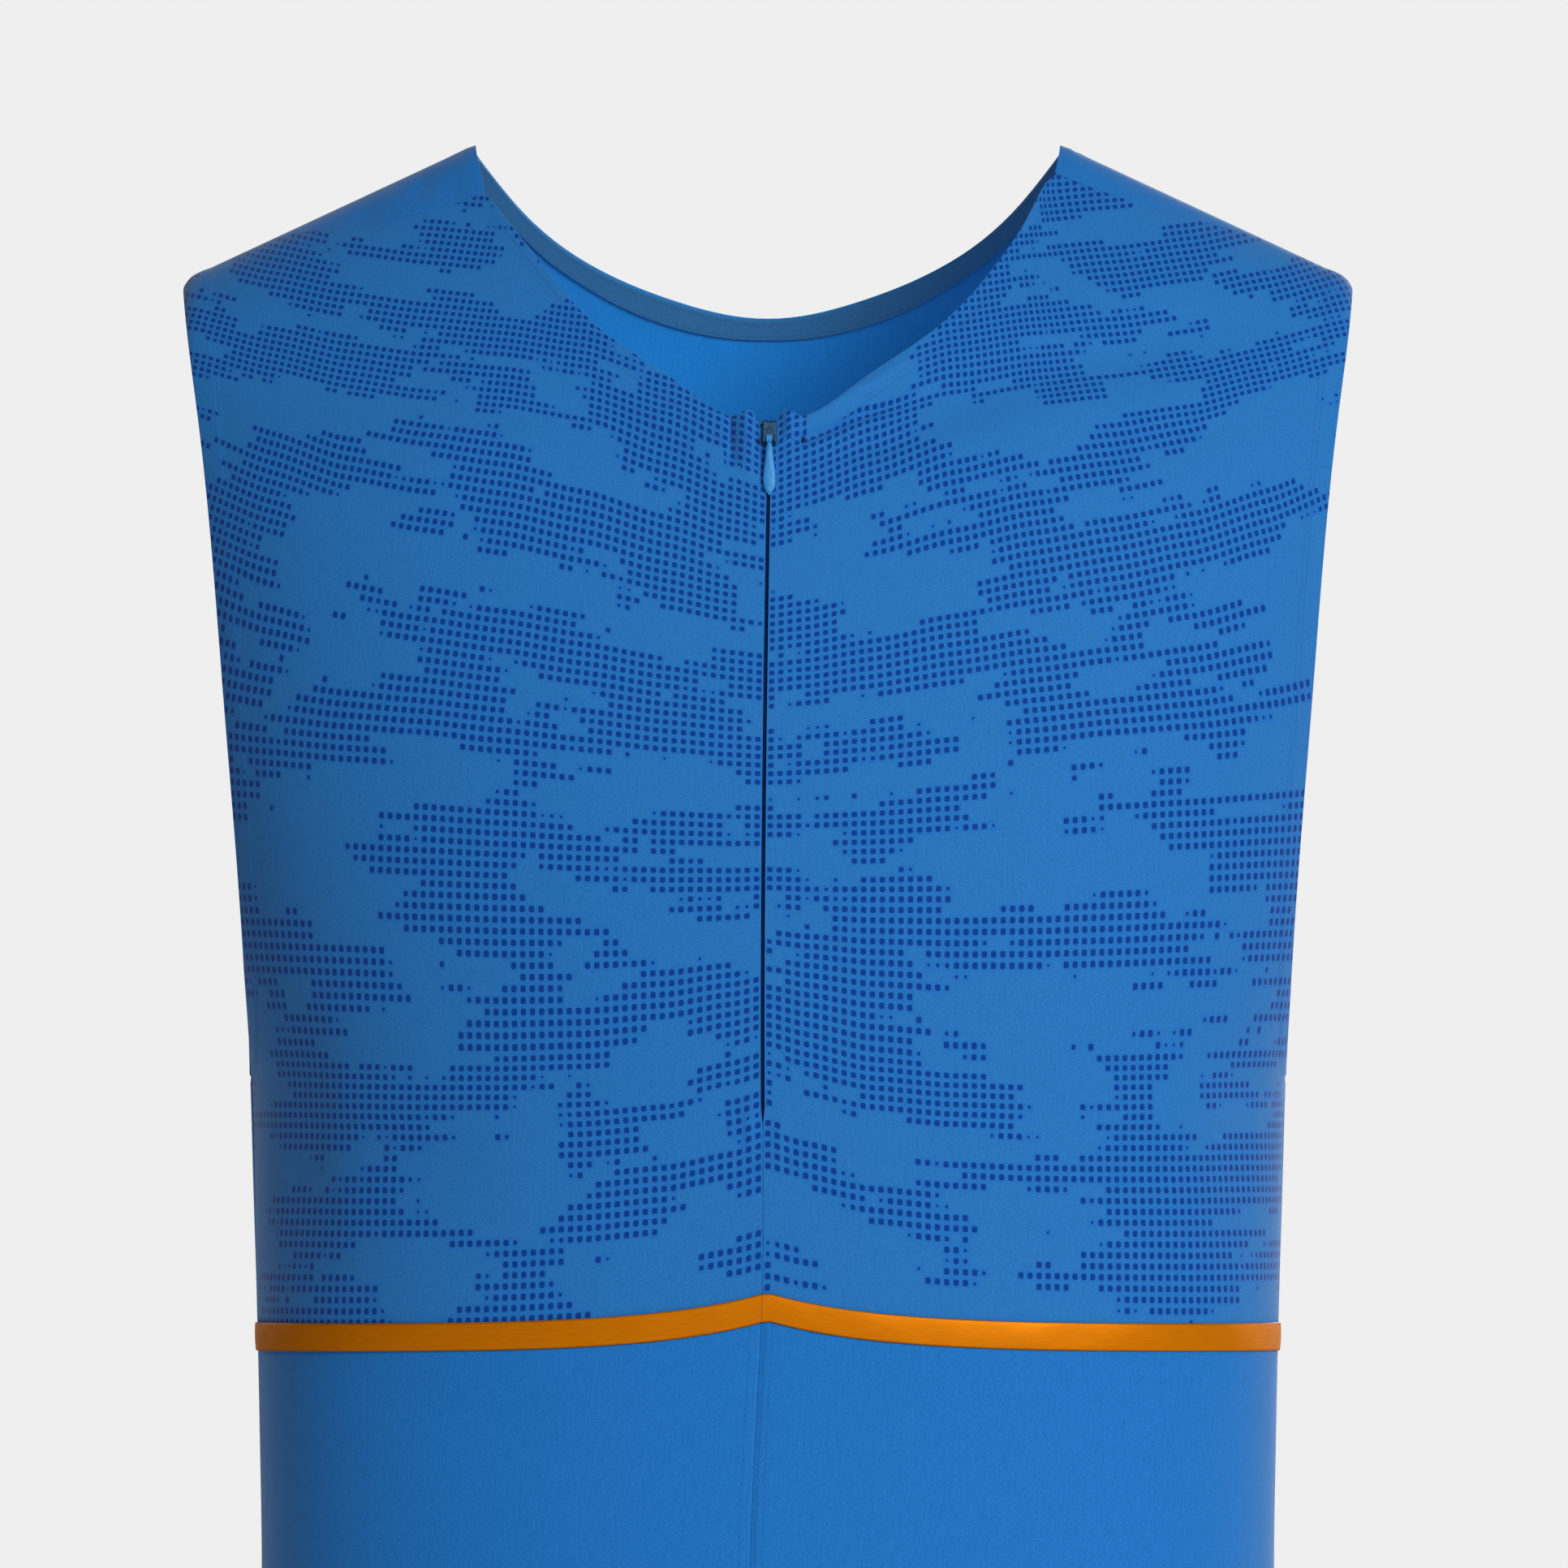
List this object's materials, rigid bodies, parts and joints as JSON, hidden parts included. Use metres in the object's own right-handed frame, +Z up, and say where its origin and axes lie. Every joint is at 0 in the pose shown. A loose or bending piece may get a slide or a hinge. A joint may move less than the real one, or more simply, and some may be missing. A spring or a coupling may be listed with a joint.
{
  "type": "athletics bodysuit",
  "caption": "Sleeveless athletics bodysuit with printed zip fronts, satin waist band and short legs, shaped as worn and open at neck, arms and legs.",
  "frame": {"origin": "middle of the neck opening, level with the two points where neckline and shoulder meet, where the wearer's shoulders carry it", "axes": "+Z up, -Y the front with the zip, +X the wearer's left"},
  "size_m": [0.3996, 0.2281, 0.8804],
  "materials": {
    "printed_knit": "royal blue stretch knit printed with navy halftone dots",
    "plain_knit": "royal blue stretch knit, soft satin sheen",
    "facing_knit": "flat blue knit, matte",
    "satin_band": "orange satin, stitched along both edges",
    "zip_tape": "navy woven tape, matte",
    "slider_metal": "worn steel grey",
    "pull_lacquer": "blue lacquer"
  },
  "bodies": {
    "garment": {"front_panel_left": "printed_knit", "front_panel_right": "printed_knit", "back_panel": "plain_knit", "neck_facing": "facing_knit", "waist_band_front_left": "satin_band", "waist_band_front_right": "satin_band", "waist_band_back": "satin_band", "shorts_front_left": "plain_knit", "shorts_front_right": "plain_knit", "shorts_back_left": "plain_knit", "shorts_back_right": "plain_knit", "zip_tape_left": "zip_tape", "zip_tape_right": "zip_tape", "zip_slider": "slider_metal"},
    "pull": {"zip_pull": "pull_lacquer"}
  },
  "joints": [
    {"name": "pull_swing", "type": "hinge", "parent": "garment", "child": "pull", "pos_m": [0.00052, -0.08816, -0.1004], "axis": [-1, 0, 0], "range_deg": [0, 165]}
  ]
}
